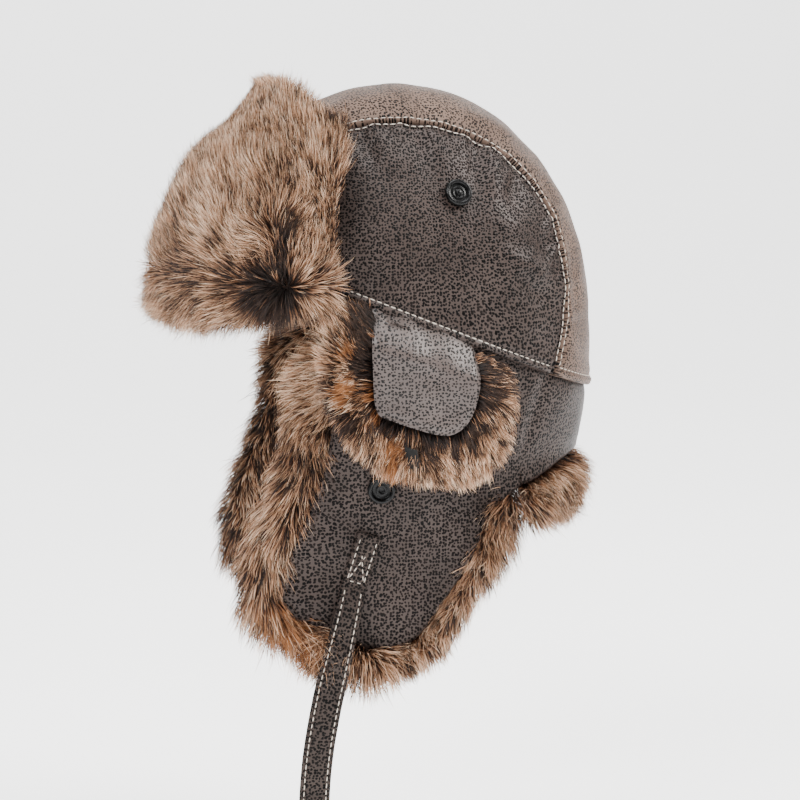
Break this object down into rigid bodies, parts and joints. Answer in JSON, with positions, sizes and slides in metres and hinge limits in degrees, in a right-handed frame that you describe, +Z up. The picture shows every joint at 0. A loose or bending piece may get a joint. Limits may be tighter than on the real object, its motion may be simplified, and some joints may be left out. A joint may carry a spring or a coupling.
{
  "type": "trapper hat",
  "caption": "Fur-lined trapper hat: pebbled leather crown, turned-up fur visor, fold-up ear flaps with ear-hole covers, neck curtain and chin straps.",
  "frame": {"origin": "centre of the head opening, 7 mm above the hem beside the ears", "axes": "+Z up, the wearer faces -Y, the wearer's left is +X"},
  "size_m": [0.2022, 0.2469, 0.435],
  "materials": {
    "leather": "pebbled two-tone, satin",
    "fur": "long pile faux fur, banded brown",
    "wadding": "matt wadding",
    "lining": "quilted satin",
    "sweatband": "twill tape",
    "snap_black": "gloss black",
    "strap_leather": "pebbled, satin",
    "tab_webbing": "black webbing"
  },
  "bodies": {
    "crown": {"crown_center_panel": "leather", "crown_side_panel_left": "leather", "crown_side_panel_right": "leather", "crown_padding": "wadding", "crown_lining": "lining", "sweatband": "sweatband", "crown_snap_stud_left": "snap_black", "crown_snap_stud_right": "snap_black", "crown_snap_post_left": "snap_black", "crown_snap_post_right": "snap_black", "nape_shell": "leather", "nape_padding": "wadding", "nape_fur": "fur"},
    "visor": {"visor_shell": "leather", "visor_stiffener": "wadding", "visor_fur": "fur"},
    "ear_flap_left": {"ear_shell_left": "leather", "ear_padding_left": "wadding", "ear_fur_left": "fur", "ear_snap_socket_left": "snap_black", "ear_snap_post_left": "snap_black", "chin_strap_sewn_end_left": "strap_leather"},
    "ear_cover_left": {"ear_cover_fur_left": "fur", "ear_cover_shell_left": "leather", "ear_cover_tab_left": "tab_webbing"},
    "chin_strap_left": {"chin_strap_front_left": "strap_leather", "chin_strap_backing_left": "strap_leather", "strap_snap_cap_left": "snap_black", "strap_snap_socket_left": "snap_black"},
    "ear_flap_right": {"ear_shell_right": "leather", "ear_padding_right": "wadding", "ear_fur_right": "fur", "ear_snap_socket_right": "snap_black", "ear_snap_post_right": "snap_black", "chin_strap_sewn_end_right": "strap_leather"},
    "ear_cover_right": {"ear_cover_fur_right": "fur", "ear_cover_shell_right": "leather", "ear_cover_tab_right": "tab_webbing"},
    "chin_strap_right": {"chin_strap_front_right": "strap_leather", "chin_strap_backing_right": "strap_leather", "strap_snap_cap_right": "snap_black", "strap_snap_socket_right": "snap_black"}
  },
  "joints": [
    {"name": "visor_fold", "type": "hinge", "parent": "crown", "child": "visor", "pos_m": [0, -0.114, 0.005], "axis": [1, 0, 0], "range_deg": [0, 100]},
    {"name": "ear_left_fold", "type": "hinge", "parent": "crown", "child": "ear_flap_left", "pos_m": [0.096, 0, -0.0082], "axis": [0, -0.9317, 0.3633], "range_deg": [0, 170]},
    {"name": "ear_cover_left_open", "type": "hinge", "parent": "ear_flap_left", "child": "ear_cover_left", "pos_m": [0.0905, 0, -0.012], "axis": [0, 0.9317, -0.3633], "range_deg": [-100, 0]},
    {"name": "chin_strap_left_swing", "type": "hinge", "parent": "ear_flap_left", "child": "chin_strap_left", "pos_m": [0.086, -0.0344, -0.1465], "axis": [0, 0.944, -0.33], "range_deg": [-75, 0]},
    {"name": "ear_right_fold", "type": "hinge", "parent": "crown", "child": "ear_flap_right", "pos_m": [-0.096, 0, -0.0082], "axis": [0, 0.9317, -0.3633], "range_deg": [0, 170]},
    {"name": "ear_cover_right_open", "type": "hinge", "parent": "ear_flap_right", "child": "ear_cover_right", "pos_m": [-0.0905, 0, -0.012], "axis": [0, -0.9317, 0.3633], "range_deg": [-100, 0]},
    {"name": "chin_strap_right_swing", "type": "hinge", "parent": "ear_flap_right", "child": "chin_strap_right", "pos_m": [-0.086, -0.0344, -0.1465], "axis": [0, -0.944, 0.33], "range_deg": [-75, 0]}
  ]
}
